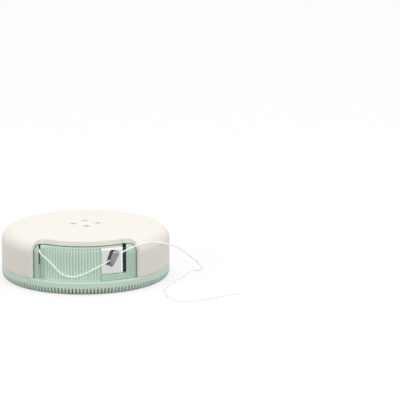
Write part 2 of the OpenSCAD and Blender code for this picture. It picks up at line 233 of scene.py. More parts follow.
def spinSector(name, line, startDeg, endDeg, steps):
    # A solid sector of a closed outline
    piece = drawLine(name, [placeAt(startDeg, r, z) for r, z in line])
    bpy.ops.mesh.select_all(action="SELECT")
    bpy.ops.mesh.edge_face_add()
    spinBy(endDeg - startDeg, steps)
    closeSkin()
    return piece


def raiseOutline(name, points, height):
    # A solid of a flat outline and a height
    piece = drawLine(name, points)
    bpy.ops.mesh.select_all(action="SELECT")
    bpy.ops.mesh.edge_face_add()
    bpy.ops.mesh.extrude_region_move(TRANSFORM_OT_translate={"value": height})
    closeSkin()
    return piece


def joinAll(pieces):
    deselectAll()
    for piece in pieces:
        piece.select_set(True)
    bpy.context.view_layer.objects.active = pieces[0]
    bpy.ops.object.join()
    return pieces[0]


def combine(piece, tool, operation):
    pick(piece)
    cut = piece.modifiers.new("cut", "BOOLEAN")
    cut.operation = operation
    cut.solver = "EXACT"
    cut.object = tool
    bpy.ops.object.modifier_apply(modifier=cut.name)
    bpy.data.objects.remove(tool, do_unlink=True)


def roundEdges(piece, wanted, width, steps):
    # Rounds the sharp outward edges that wanted says yes to, from where an edge's middle is
    pick(piece)
    bpy.ops.object.mode_set(mode="EDIT")
    bpy.ops.mesh.select_mode(type="EDGE")
    bpy.ops.mesh.select_all(action="DESELECT")
    shape = bmesh.from_edit_mesh(piece.data)
    count = 0
    for edge in shape.edges:
        if len(edge.link_faces) == 2 and edge.is_convex and edge.calc_face_angle() > math.radians(40):
            middle = (edge.verts[0].co + edge.verts[1].co) / 2
            deg = math.degrees(math.atan2(middle.x, -middle.y))
            if wanted(deg, middle.xy.length, middle.z):
                edge.select_set(True)
                count += 1
    bmesh.update_edit_mesh(piece.data)
    bpy.ops.mesh.bevel(offset=width, segments=steps, affect="EDGES", clamp_overlap=False)
    bpy.ops.object.mode_set(mode="OBJECT")
    print("   rounded", count, "edges of", piece.name)


def addSlots(piece, count):
    for _ in range(count):
        piece.data.materials.append(None)


def finishPiece(piece, name, body, node, smoothDeg=35):
    piece.name = piece.data.name = name
    pick(piece)
    bpy.ops.object.mode_set(mode="EDIT")
    bpy.ops.mesh.select_all(action="SELECT")
    bpy.ops.mesh.remove_doubles(threshold=tiny)
    bpy.ops.mesh.select_all(action="SELECT")
    bpy.ops.mesh.normals_make_consistent(inside=False)
    bpy.ops.object.mode_set(mode="OBJECT")
    piece.data.transform(Matrix.Scale(mm, 4))
    bpy.ops.object.shade_smooth_by_angle(angle=math.radians(smoothDeg))
    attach(piece, body)
    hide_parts(node)
    shape = bmesh.new()
    shape.from_mesh(piece.data)
    loose = sum(1 for e in shape.edges if len(e.link_faces) != 2)
    print(name, "done:", sum(len(f.verts) - 2 for f in shape.faces), "triangles,", loose, "open edges,",
          round(shape.calc_volume(signed=True) / mm ** 3), "mm3")
    shape.free()


coverShape = {
    "outside": 27,
    "wall": 1.3,
    "biteWall": 1.62,  # the wall round the window's bite
    "bottom": 4.2,
    "bottomRound": 0.15,
    "shoulder": 4,
    "shoulderX": 23,
    "shoulderZ": 11.977,
    "dome": 240,
    "top": 17.1,
    "blendDeg": 84.41,  # where the shoulder's round meets the dome
    "steps": 240,
    "keeper": (7, 8.2, 13.3),  # inside and outside radius, lowest height
    "windowHalfDeg": 39.5,
    "bite": 21.3,
    "corner": 2,
    "edgeRound": 0.28,
    "vent": 1.04,
    "ventRound": 0.22,
    "ventCircle": 3.9,
    "ventDegs": (5, 95, 185, 275),
    "tabDegs": (90, 180, 270),
    "tabHalfDeg": 7,
    "tab": (25.78, 26.2, 3.0, 5.4),  # inside and outside radius, low and high
}


def domeHeight(r, drop=0.0):
    middle = coverShape["top"] - coverShape["dome"]
    return middle + math.sqrt((coverShape["dome"] - drop) ** 2 - r ** 2)


def makeCover():
    c = coverShape
    inside = c["outside"] - c["wall"]
    e = c["bottomRound"]
    blend = c["blendDeg"]
    keepIn, keepOut, keepZ = c["keeper"]
    under = [(r, domeHeight(r, c["wall"])) for r in (0, 2.5, 5)]
    under += [(keepIn, domeHeight(keepIn, c["wall"])), (keepIn, keepZ + 0.15), (keepIn + 0.15, keepZ),
              (keepOut - 0.15, keepZ), (keepOut, keepZ + 0.15), (keepOut, domeHeight(keepOut, c["wall"]))]
    under += [(r, domeHeight(r, c["wall"])) for r in (12, 16, 20.3)]
    under += [(r, domeHeight(r, c["biteWall"])) for r in (20.6, 22.2)]
    under += arc(c["shoulderX"], c["shoulderZ"], c["shoulder"] - c["wall"], blend * 7 / 8, 0, 7)
    under += [(inside, 8), (inside, c["bottom"] + e), (inside + e, c["bottom"])]
    over = arc(c["outside"] - e, c["bottom"] + e, e, -90, 0, 3)
    over += [(c["outside"], 6), (c["outside"], 9)]
    over += arc(c["shoulderX"], c["shoulderZ"], c["shoulder"], 0, blend, 12)
    over += [(r, domeHeight(r)) for r in (20.4, 17, 13, 9, 6, 2.5, 0)]
    cover = spinRound("cover", under + over, c["steps"])

    # The window: an outline seen from above, cut through the cover's full height
    half, corner = c["windowHalfDeg"], c["corner"]
    outer, tip = 34, 60  # where the outline ends, outside the cover
    cornerR = c["bite"] + corner
    cornerDeg = half - math.degrees(math.asin(corner / cornerR))
    outline = []
    for side in (-1, 1):
        middle = placeAt(side * cornerDeg, cornerR, 0)
        # The round corner, from the bite to the window's side
        bend = []
        sweep = 90 - (half - cornerDeg)
        for turn in (90 * k / 8 for k in range(9)):
            a = math.radians(side * cornerDeg) + math.pi - side * math.radians(turn / 90 * sweep)
            bend.append(middle + corner * Vector((math.sin(a), -math.cos(a), 0)))
        if side < 0:
            outline += [placeAt(-half, outer, 0)] + bend[::-1]
            outline += [placeAt(-cornerDeg + 2 * cornerDeg * k / 26, c["bite"], 0) for k in range(1, 26)]
        else:
            outline += bend + [placeAt(half, outer, 0), placeAt(0, tip, 0)]
    combine(cover, raiseOutline("windowCutter", outline, (0, 0, 24)), "DIFFERENCE")

    # Four small holes round the middle, their rims rounded by the cutter's own flare
    flare = c["ventRound"]
    rim = c["vent"] + flare
    drill = [(0, -3), (c["vent"], -3)]
    drill += arc(rim, -flare, flare, 180, 100, 4)
    drill += [(rim, 0.03), (rim, 1), (0, 1)]
    for deg in c["ventDegs"]:
        hole = spinRound("vent", drill, 32)
        lean = math.asin(c["ventCircle"] / c["dome"])
        place = placeAt(deg, c["ventCircle"], domeHeight(c["ventCircle"]))
        turn = Matrix.Rotation(math.radians(deg), 4, "Z") @ Matrix.Rotation(lean, 4, "X")
        hole.data.transform(Matrix.Translation(place) @ turn)
        combine(cover, hole, "DIFFERENCE")

    r0, r1, z0, z1 = c["tab"]
    outlineTab = [(r0, z1), (r0, z0 + 0.1), (r0 + 0.1, z0), (r1 - 0.15, z0), (r1, z0 + 0.2), (r1, z1)]
    reach = c["tabHalfDeg"]
    tabs = [spinSector("tab", outlineTab, deg - reach, deg + reach, 10) for deg in c["tabDegs"]]
    combine(cover, joinAll(tabs), "UNION")

    def outerWindowEdge(deg, r, z):
        if z < 4.5 or abs(deg) > half + 1 or r < c["bite"] - 0.3:
            return False
        if z < c["shoulderZ"]:
            off = c["outside"] - r
        elif r > c["shoulderX"] + 0.39:
            off = c["shoulder"] - math.hypot(r - c["shoulderX"], z - c["shoulderZ"])
        else:
            off = domeHeight(r) - z
        return abs(off) < 0.03

    pick(cover)
    bpy.ops.object.mode_set(mode="EDIT")
    bpy.ops.mesh.select_all(action="SELECT")
    bpy.ops.mesh.remove_doubles(threshold=0.01)
    bpy.ops.object.mode_set(mode="OBJECT")
    roundEdges(cover, outerWindowEdge, c["edgeRound"], 3)
    finishPiece(cover, "coverShell", "lid", "cover")
    return cover


coverPiece = makeCover()


trayShape = {
    "outside": 27,
    "inside": 25.5,
    "top": 4.1,
    "floor": 1.6,
    "lift": 0.4,  # of the underside inside the foot ring
    "footInside": 20,
    "corner": 2,
    "hole": 5.08,
    "teeth": 148,
    "toothTop": 2.2,
    "gapFoot": 24.9,
    "gapHead": 26.2,
    "columns": 8,  # to a tooth and its gap
    "gapColumns": (3, 4, 5),
    "notch": (24.6, 26.3, 2.9, 6),  # as the cover's tab
    "notchHalfDeg": 7.2,
}


def makeTray():
    t = trayShape
    middle = t["outside"] - t["corner"]
    line = [(t["hole"], 0.6), (t["hole"] + 0.2, t["lift"]), (t["footInside"], t["lift"]),
            (t["footInside"] + 0.25, 0.1), (t["footInside"] + 0.5, 0)]
    line += arc(middle, t["corner"], t["corner"], -90, 0, 9)
    line += [(t["outside"], t["toothTop"] + 0.12), (t["outside"], 3.2)]
    line += arc(t["outside"] - 0.2, t["top"] - 0.2, 0.2, 0, 90, 3)
    line += arc(t["inside"] + 0.12, t["top"] - 0.12, 0.12, 90, 180, 2)
    line += [(t["inside"], t["floor"] + 0.35), (t["inside"] - 0.1, t["floor"] + 0.1),
             (t["inside"] - 0.35, t["floor"]), (t["hole"] + 0.2, t["floor"]), (t["hole"], t["floor"] - 0.2)]
    pitch = 360 / t["teeth"]
    tray = drawLine("tray", [placeAt(0, r, z) for r, z in line + [line[0]]])
    bpy.ops.mesh.select_all(action="SELECT")
    spinBy(pitch, t["columns"])

    # The three middle columns of a tooth's width sink to the gap's sloping floor
    shape = bmesh.from_edit_mesh(tray.data)
    for point in shape.verts:
        deg = math.degrees(math.atan2(point.co.x, -point.co.y))
        column = round(deg / pitch * t["columns"])
        r, z = point.co.xy.length, point.co.z
        floorR = t["gapFoot"] + (t["gapHead"] - t["gapFoot"]) * z / t["toothTop"]
        if column in t["gapColumns"] and r > floorR and z < t["toothTop"]:
            point.co.x *= floorR / r
            point.co.y *= floorR / r
    bmesh.update_edit_mesh(tray.data)
    bpy.ops.mesh.select_all(action="SELECT")
    bpy.ops.mesh.spin(dupli=True, steps=t["teeth"] - 1, angle=-math.radians(360 - pitch),
                      center=(0, 0, 0), axis=(0, 0, 1))
    closeSkin()

    r0, r1, z0, z1 = t["notch"]
    box = [(r0, z0), (r1, z0), (r1, z1), (r0, z1)]
    reach = t["notchHalfDeg"]
    notches = [spinSector("notch", box, deg - reach, deg + reach, 10) for deg in coverShape["tabDegs"]]
    combine(tray, joinAll(notches), "DIFFERENCE")
    finishPiece(tray, "trayRim", "shell", "tray")
    return tray


trayPiece = makeTray()


cutterShape = {
    "leftDeg": 12.05,
    "foldDeg": 28.64,
    "foot": 6.1,
    "fold": 1.3,  # how far the right edge goes into the slot
    "tangDeg": 20.55,
    "tangZ": 10.88,
    "leanDeg": 26,
    "length": 5.2,
    "topWidth": 2.4,
    "rootWidth": 1.6,
    "margin": 0.15,  # round the tang in its opening
    "leftGap": 0.45,  # more of it on the left
    "notch": -1.5,
    "notchHalf": 0.26,
    "notchDepth": 0.3,
    "bendFrom": -2.4,
    "bendLength": 1.1,
    "corner": 0.8,
    "thick": 0.2,
    "edgeRound": 0.04,
    "foldRound": 0.1,
    "rimRound": 0.05,
    "raised": 25.3,  # radius of the raised tang's middle
    "clear": 0.15,  # from the turning cover
}


def tangPlace(u, v, r):
    # A point of the tang's own plane, u across and v along, on the front of the drum
    c = cutterShape
    lean = math.radians(c["leanDeg"])
    across = u * math.cos(lean) + v * math.sin(lean)
    z = c["tangZ"] - u * math.sin(lean) + v * math.cos(lean)
    return across, z, c["tangDeg"] + math.degrees(across / r)


def tangOpening(inset, innerR):
    # The space that the tang is cut from, with round corners, through the sheet or the drum's wall
    c = cutterShape
    grow = c["margin"] - inset
    low, high = -c["length"] / 2 + c["margin"] + inset, c["length"] / 2 + grow
    root, top, bend = c["rootWidth"] / 2 + grow, c["topWidth"] / 2 + grow, c["corner"]
    outline = [(-root - c["leftGap"], low), (root, low)]
    outline += arc(top - bend, high - bend, bend, 0, 90, 5)
    outline += arc(-top - c["leftGap"] + bend, high - bend, bend, 90, 180, 5)
    far = coverShape["outside"]
    out = placeAt(c["tangDeg"], 1, 0)
    side = Vector((math.cos(math.radians(c["tangDeg"])), math.sin(math.radians(c["tangDeg"])), 0))
    corners = []
    for u, v in outline:
        across, z = tangPlace(u, v, drumShape["recess"])[:2]
        corners.append(side * across + out * far + Vector((0, 0, z)))
    return raiseOutline("opening", corners, -out * (far - innerR))


drumShape = {
    "outside": 25.3,
    "round": 2.3,
    "bottom": 1.8,
    "floor": 3.0,
    "top": 14.28,
    "cavity": 23.4,
    "lip": 20.6,
    "lipZ": 13.28,
    "stub": 5,
    "stubZ": 0.4,
    "post": 3.5,
    "postTop": 12.9,
    "postBore": 2.0,
    "postBoreZ": 6,
    "steps": 180,
    "startDeg": 1.35,  # keeps the columns clear of the window's cuts
    "recess": 24.6,
    "recessRound": 0.65,
    "ledge": 4.1,
    "slitDeg": -35.5,
    "slit": (-14.52, -14.2, -21.6, -13.55, 8.58),  # left, right, front, back, lowest height
    "slitMouth": (-14.56, -14, -21.6, -13.55, 12),  # its wider part, round the thread
    "strip": 24.2,  # radius between the slit and the ribs
    "ribsLeftDeg": -31.24,
    "plateLeftDeg": 11.7,
    "plateRightDeg": 28.0,
    "slotRightDeg": 30.57,
    "plateFoot": 5.98,
    "sheet": 0.3,
    "hook": 22.4,  # the plate reaches in to this radius over the drum's edge
    "slot": 22.6,
    "slotBack": (11.767, 12.867, -22.78, -16, 5.98),
    "pocket": 22.7,  # radius of the floor behind the tang
    "groovePitchDeg": 2.22,
    "firstGrooveDeg": 10.94,
    "grooveDepth": 0.55,
    "ribColumns": (10, 3, 197),  # to a rib and its groove, before the first groove, in all
    "ribClear": 0.03,
    # Bounds of the ribbed field that gets the lighter mint of painted highlight
    "ribPaintedLight": (24.7, 4.15, 13.6),  # largest radius, lowest and highest height
    "pocketMargin": 0.6,
    "edgeRound": 0.1,
    "frontDegs": (-37.5, 32),  # the edges between these are rounded
}


def makeRibCutter():
    # The space in front of the ribs: its inner skin carries their shape
    d = drumShape
    middle = d["outside"] - d["round"]
    meetDeg = math.degrees(math.acos((d["recess"] - middle) / d["round"]))
    # Grooves start at the third ring, and the skin is upright up to the fourth
    rings = (d["ledge"], 4.3, 4.5, 8.5)
    line = [(d["recess"], z) for z in rings]
    # Over the round it stands a hair off the drum, so that the two skins never coincide
    line += arc(middle, d["top"] - d["round"], d["round"] + d["ribClear"], meetDeg, 90, 8)
    parts, lead, count = d["ribColumns"]
    step = d["groovePitchDeg"] / parts
    phase = d["firstGrooveDeg"] + lead * step
    # It reaches a little into the plate's seat and into the strip beside the slit
    rightDeg = d["plateLeftDeg"] + 0.2
    cutter = drawLine("ribCutter", [placeAt(rightDeg, r, z) for r, z in line])
    bpy.ops.mesh.select_all(action="SELECT")
    spinBy(phase - rightDeg, 1)
    spinBy(-step * count, count)

    # A groove is seven columns wide, deepest in its middle, and sinks square to the skin.
    # Points past the right end and on the round's top stay where they are.
    depths = (1, 0.97, 0.4, 0.03)
    shape = bmesh.from_edit_mesh(cutter.data)
    for point in shape.verts:
        column = (phase - math.degrees(math.atan2(point.co.x, -point.co.y))) / step
        place = (column - lead) % parts
        near = round(min(place, parts - place))
        r, z = point.co.xy.length, point.co.z
        if near < len(depths) and column > -0.2 and z > rings[2] - tiny and r > middle + 0.05:
            # Level on the upright skin, square to the round above it, halfway where they meet
            rise = math.degrees(math.atan2(z - d["top"] + d["round"], r - middle))
            rise = 0 if z < rings[3] + tiny else meetDeg / 2 if rise < meetDeg + 1 else min(rise, 90)
            out = Vector((point.co.x, point.co.y, 0)) / r * math.cos(math.radians(rise))
            out.z = math.sin(math.radians(rise))
            point.co -= out * depths[near] * d["grooveDepth"]
    bmesh.update_edit_mesh(cutter.data)

    # Its outer skin stands clear of the drum, and the top of that skin is raised above it
    wider, topFrom, lift = 1.12, 12.7, 3
    bpy.ops.mesh.select_all(action="SELECT")
    bpy.ops.mesh.extrude_region_move(TRANSFORM_OT_translate={"value": (0, 0, 0)})
    bpy.ops.transform.resize(value=(wider, wider, 1), center_override=(0, 0, 0))
    shape = bmesh.from_edit_mesh(cutter.data)
    for point in shape.verts:
        if point.select and point.co.z < topFrom:
            point.select_set(False)
    bpy.ops.transform.translate(value=(0, 0, lift))
    closeSkin()
    return cutter


def makeDrum():
    d = drumShape
    line = [(0, d["stubZ"]), (d["stub"] - 0.25, d["stubZ"]), (d["stub"], d["stubZ"] + 0.25),
            (d["stub"], d["bottom"])]
    line += arc(d["outside"] - 0.3, d["bottom"] + 0.3, 0.3, -90, 0, 3)
    line += [(d["outside"], 4.4), (d["outside"], 8)]
    line += arc(d["outside"] - d["round"], d["top"] - d["round"], d["round"], 0, 90, 10)
    line += arc(d["lip"] + 0.2, d["top"] - 0.2, 0.2, 90, 180, 3)
    line += [(d["lip"], d["lipZ"] + 0.1), (d["lip"] + 0.1, d["lipZ"]), (d["cavity"], d["lipZ"]),
             (d["cavity"], 8), (d["cavity"], d["floor"] + 0.4), (d["cavity"] - 0.4, d["floor"]),
             (d["post"] + 0.3, d["floor"]), (d["post"], d["floor"] + 0.3), (d["post"], d["postTop"] - 0.4),
             (d["post"] - 0.4, d["postTop"]), (d["postBore"] + 0.2, d["postTop"]),
             (d["postBore"], d["postTop"] - 0.2), (d["postBore"], d["postBoreZ"]), (0, d["postBoreZ"])]
    drum = spinRound("drum", line, d["steps"], d["startDeg"])

    high, far = 18, 27  # where the cutters end, outside the drum
    combine(drum, makeRibCutter(), "DIFFERENCE")
    strip = [(d["strip"], d["ledge"]), (far, d["ledge"]), (far, high), (d["strip"], high)]
    combine(drum, spinSector("strip", strip, d["slitDeg"], d["ribsLeftDeg"], 3), "DIFFERENCE")
    sunk = d["sheet"]
    seat = [(d["recess"] - sunk, d["plateFoot"])]
    seat += arc(d["recess"] - d["recessRound"], d["top"] - d["recessRound"], d["recessRound"] - sunk,
                0, 90, 8)
    seat += [(d["hook"], d["top"] - sunk), (d["hook"], high), (far, high), (far, d["plateFoot"])]
    combine(drum, spinSector("seat", seat, d["plateLeftDeg"], d["plateRightDeg"] + 0.3, 16), "DIFFERENCE")
    slot = [(d["slot"], d["plateFoot"]), (far, d["plateFoot"]), (far, high), (d["slot"], high)]
    combine(drum, spinSector("slot", slot, d["plateRightDeg"], d["slotRightDeg"], 3), "DIFFERENCE")
    for left, right, front, back, low in (d["slit"], d["slitMouth"], d["slotBack"]):
        corners = [(left, front, low), (right, front, low), (right, back, low), (left, back, low)]
        combine(drum, raiseOutline("cut", corners, (0, 0, 9)), "DIFFERENCE")
    combine(drum, tangOpening(-d["pocketMargin"], d["pocket"]), "DIFFERENCE")

    def frontEdge(deg, r, z):
        # Edges of the openings where they meet the drum's outer skin
        leftDeg, rightDeg = d["frontDegs"]
        onCorner = abs(deg - d["plateLeftDeg"]) < 0.8 and z < d["plateFoot"] + 0.3
        if not (leftDeg < deg < rightDeg) or onCorner:
            return False
        onFace = abs(r - d["outside"]) < 0.05 and z < d["top"] - d["round"] + 0.1
        rise = math.hypot(r - (d["outside"] - d["round"]), z - (d["top"] - d["round"]))
        onRound = z > d["top"] - d["round"] and abs(rise - d["round"]) < 0.05
        onTop = abs(z - d["top"]) < 0.02 and r > d["lip"] + 0.5
        onRibs = d["ribsLeftDeg"] + 0.2 < deg < d["plateLeftDeg"] - 0.2 and z > 12
        return (onFace or onRound or onTop) and not onRibs

    # Points that lie close together are joined, but not along the fine tops of the grooves
    pick(drum)
    bpy.ops.object.mode_set(mode="EDIT")
    bpy.ops.mesh.select_mode(type="VERT")
    bpy.ops.mesh.select_all(action="DESELECT")
    shape = bmesh.from_edit_mesh(drum.data)
    for point in shape.verts:
        deg = math.degrees(math.atan2(point.co.x, -point.co.y))
        onGrooves = d["ribsLeftDeg"] + 0.3 < deg < d["plateLeftDeg"] - 0.3 and point.co.z > 13.3
        point.select_set(not onGrooves)
    bmesh.update_edit_mesh(drum.data)
    bpy.ops.mesh.remove_doubles(threshold=0.01)
    bpy.ops.object.mode_set(mode="OBJECT")
    roundEdges(drum, frontEdge, d["edgeRound"], 2)

    # The ribbed field gets a lighter, glossier copy of the drum's mint, up to the drum's rounded edge: the
    # lighter colour is painted highlight
    litR, litLow, litHigh = d["ribPaintedLight"]
    addSlots(drum, 2)
    for face in drum.data.polygons:
        deg = math.degrees(math.atan2(face.center.x, -face.center.y))
        r, z = face.center.xy.length, face.center.z
        onRibs = d["ribsLeftDeg"] < deg < d["plateLeftDeg"]
        if onRibs and r < litR and litLow < z < litHigh:
            face.material_index = 1
    finishPiece(drum, "drumBody", "drum", "inner_drum")
    return drum


drumPiece = makeDrum()


def makeCutter():
    c, d, cover = cutterShape, drumShape, coverShape
    centre, centreZ = d["recess"] - d["recessRound"], d["top"] - d["recessRound"]
    line = [(d["recess"], c["foot"]), (d["recess"], 8.5)]
    line += arc(centre, centreZ, d["recessRound"], 0, 90, 8) + [(d["hook"] + 0.02, d["top"])]
    line += [(d["hook"] + 0.02, d["top"] - d["sheet"])]
    line += arc(centre, centreZ, d["recessRound"] - d["sheet"], 90, 0, 8)
    line += [(d["recess"] - d["sheet"], c["foot"])]
    plate = drawLine("plate", [placeAt(c["leftDeg"], r, z) for r, z in line])
    bpy.ops.mesh.select_all(action="SELECT")
    bpy.ops.mesh.edge_face_add()
    spinBy(d["plateRightDeg"] - c["leftDeg"], 22)
    spinBy(c["foldDeg"] - d["plateRightDeg"], 1)
    bpy.ops.mesh.select_all(action="SELECT")
    bpy.ops.mesh.normals_make_consistent(inside=False)

    # The last strip of the sheet's inner side is drawn in: the edge folded into the slot
    bpy.ops.mesh.select_mode(type="FACE")
    bpy.ops.mesh.select_all(action="DESELECT")
    shape = bmesh.from_edit_mesh(plate.data)
    for face in shape.faces:
        middle = face.calc_center_median()
        deg = math.degrees(math.atan2(middle.x, -middle.y))
        if deg > d["plateRightDeg"] + 0.1 and deg < c["foldDeg"] - 0.1 and middle.z < centreZ and \
                abs(middle.xy.length - d["recess"] + d["sheet"]) < 0.05:
            face.select_set(True)
    bmesh.update_edit_mesh(plate.data)
    inward = -placeAt((d["plateRightDeg"] + c["foldDeg"]) / 2, c["fold"], 0)
    bpy.ops.mesh.extrude_region_move(TRANSFORM_OT_translate={"value": inward})
    closeSkin()

    combine(plate, tangOpening(0, 22), "DIFFERENCE")

    def rightEdge(deg, r, z):
        return deg > c["foldDeg"] - 0.1 and r > d["recess"] - 0.05 and z < centreZ + 1

    def rimEdge(deg, r, z):
        return r > d["recess"] - 0.02 and z < centreZ

    roundEdges(plate, rightEdge, c["foldRound"], 2)
    roundEdges(plate, rimEdge, c["rimRound"], 1)

    # The tang: a strip that leaves the sheet at its foot and stands clear of it above,
    # but stays inside the turning cover
    # Rows lie closer together where it bends, has its notch and rounds off
    rows = [-2.9, -2.6, -2.4, -2.2, -2.0, -1.8, -1.75, -1.3, -1.25, -0.8, -0.3, 0.3, 0.8, 1.3, 1.8, 2.0,
            2.15, 2.3, 2.42, 2.51, 2.57, 2.595]
    columns = [-1, -0.6, -0.2, 0.2, 0.6, 1]
    points, faces = [], []
    end, bend = c["length"] / 2, c["corner"]
    for v in rows:
        share = (v + end) / c["length"]
        half = (c["rootWidth"] + (c["topWidth"] - c["rootWidth"]) * max(share, 0)) / 2
        if v > end - bend:
            half += -bend + math.sqrt(max(bend ** 2 - (v - end + bend) ** 2, 0))
        rise = min(max((v - c["bendFrom"]) / c["bendLength"], 0), 1)
        rise = rise * rise * (3 - 2 * rise)
        for k in columns:
            u = k * half
            if k == -1 and abs(v - c["notch"]) < c["notchHalf"]:
                u += c["notchDepth"]
            r = d["recess"] - d["sheet"] / 2 + (c["raised"] - d["recess"] + d["sheet"] / 2) * rise
            z, deg = tangPlace(u, v, r)[1:]
            limit = cover["outside"] - cover["wall"] - c["clear"] - c["thick"] / 2
            if z > cover["shoulderZ"]:
                reach = cover["shoulder"] - cover["wall"] - c["clear"] - c["thick"] / 2
                limit = cover["shoulderX"] + math.sqrt(max(reach ** 2 - (z - cover["shoulderZ"]) ** 2, 0))
            points.append(placeAt(deg, min(r, limit), z))
    for i in range(len(rows) - 1):
        for k in range(len(columns) - 1):
            a = i * len(columns) + k
            faces.append((a, a + 1, a + 1 + len(columns), a + len(columns)))
    mesh = bpy.data.meshes.new("tang")
    mesh.from_pydata(points, [], faces)
    tang = bpy.data.objects.new("tang", mesh)
    bpy.context.collection.objects.link(tang)
    pick(tang)
    wall = tang.modifiers.new("wall", "SOLIDIFY")
    wall.thickness = c["thick"]
    wall.offset = 0
    bpy.ops.object.modifier_apply(modifier=wall.name)
    edge = tang.modifiers.new("edge", "BEVEL")
    edge.width = c["edgeRound"]
    edge.segments = 2
    edge.limit_method = "ANGLE"
    edge.angle_limit = math.radians(60)
    bpy.ops.object.modifier_apply(modifier=edge.name)
    addSlots(plate, 3)
    addSlots(tang, 3)
    # The tang gets the darker steel: painted shade
    for face in tang.data.polygons:
        face.material_index = 1
    combine(plate, tang, "UNION")

    # The sheet's right edge gets a near-white copy of the steel: a painted highlight along the fold
    for face in plate.data.polygons:
        deg = math.degrees(math.atan2(face.center.x, -face.center.y))
        if deg > d["plateRightDeg"] - 0.5 and face.center.xy.length > d["recess"] - 0.3:
            face.material_index = 2
    finishPiece(plate, "cutterSheet", "drum", "cutter_plate", 30)
    return plate


cutterPiece = makeCutter()


spoolShape = {
    "bottom": 3.3,
    "top": 12.9,
    "flange": 0.8,
    "round": 0.25,
    "outside": 19.6,
    "hub": 6,
    "bore": 3.58,
    "panel": (8.4, 18),  # the sunk ring in the upper flange
    "panelDepth": 0.2,
    "winding": 18.8,
    "turn": 0.5,
    "play": 0.03,  # between the winding and the spool
    "uneven": 0.03,
}


def makeSpool():
    s = spoolShape
    low, high = s["bottom"] + s["flange"], s["top"] - s["flange"]
    line = [(s["bore"], s["bottom"] + 0.15), (s["bore"] + 0.15, s["bottom"])]
    e = s["round"]
    rim = s["outside"] - e
    line += arc(rim, s["bottom"] + e, e, -90, 0, 3) + arc(rim, low - e, e, 0, 90, 3)
    line += [(s["hub"] + 0.2, low), (s["hub"], low + 0.2), (s["hub"], high - 0.2), (s["hub"] + 0.2, high)]
    line += arc(rim, high + e, e, -90, 0, 3) + arc(rim, s["top"] - e, e, 0, 90, 3)
    panelIn, panelOut = s["panel"]
    sunk = s["panelDepth"]
    line += [(panelOut, s["top"]), (panelOut - sunk, s["top"] - sunk), (panelIn + sunk, s["top"] - sunk),
             (panelIn, s["top"]), (s["bore"] + e, s["top"]), (s["bore"], s["top"] - e)]
    spool = spinRound("spool", line, 144, loop=True)
    finishPiece(spool, "refillSpool", "reel", "spool")

    # The wound thread: turns side by side on the outside of a full ring
    turns = round((high - low) / s["turn"])
    core = s["winding"] - s["turn"] / 2
    inner, play = s["hub"] + s["play"], s["play"]
    line = [(inner, high - play), (inner, low + play)]
    for k in range(turns):
        z = low + s["turn"] * (k + 0.5)
        line += arc(core, z, s["turn"] / 2 - 0.01, -70, 70, 4)
    wound = spinRound("wound", line, 180, loop=True)
    pick(wound)
    bpy.ops.object.mode_set(mode="EDIT")
    bpy.ops.mesh.select_all(action="DESELECT")
    shape = bmesh.from_edit_mesh(wound.data)
    for point in shape.verts:
        r, z = point.co.xy.length, point.co.z
        point.select_set(r > core - 0.1 and low + 0.3 < z < high - 0.3)
    bmesh.update_edit_mesh(wound.data)
    bpy.ops.transform.vertex_random(offset=s["uneven"], uniform=0, normal=0, seed=5)
    bpy.ops.object.mode_set(mode="OBJECT")
    finishPiece(wound, "woundThread", "reel", "floss_winding", 60)
    return spool, wound


spoolPiece, woundPiece = makeSpool()


def shade(text):
    # sRGB hex to linear colour
    parts = [int(text[i:i + 2], 16) / 255 for i in (1, 3, 5)]
    return tuple(p / 12.92 if p <= 0.04045 else ((p + 0.055) / 1.055) ** 2.4 for p in parts) + (1,)


def addNode(tree, kind, settings=None, links=None):
    node = tree.nodes.new(kind)
    for name, value in (settings or {}).items():
        if isinstance(name, int) or name in node.inputs:
            node.inputs[name].default_value = value
        else:
            setattr(node, name, value)
    for name, source in (links or {}).items():
        tree.links.new(source, node.inputs[name])
    return node


def newMaterial(name):
    material = bpy.data.materials.new(name)
    material.use_nodes = True
    material.node_tree.nodes.clear()
    return material, material.node_tree


def perMetre(size):
    # Scale of a pattern whose parts are so many millimetres across
    return 1 / (size * mm)


def twoTones(tree, look, factor):
    # A mix of a look's light and dark colours
    return addNode(tree, "ShaderNodeMix",
                   {"data_type": "RGBA", "A": shade(look["light"]), "B": shade(look["dark"])},
                   {"Factor": factor}).outputs["Result"]


def spread(tree, middle, reach, factor):
    # A value that wanders a little to both sides of its middle
    return addNode(tree, "ShaderNodeMapRange", {"To Min": middle - reach, "To Max": middle + reach},
                   {"Value": factor}).outputs["Result"]


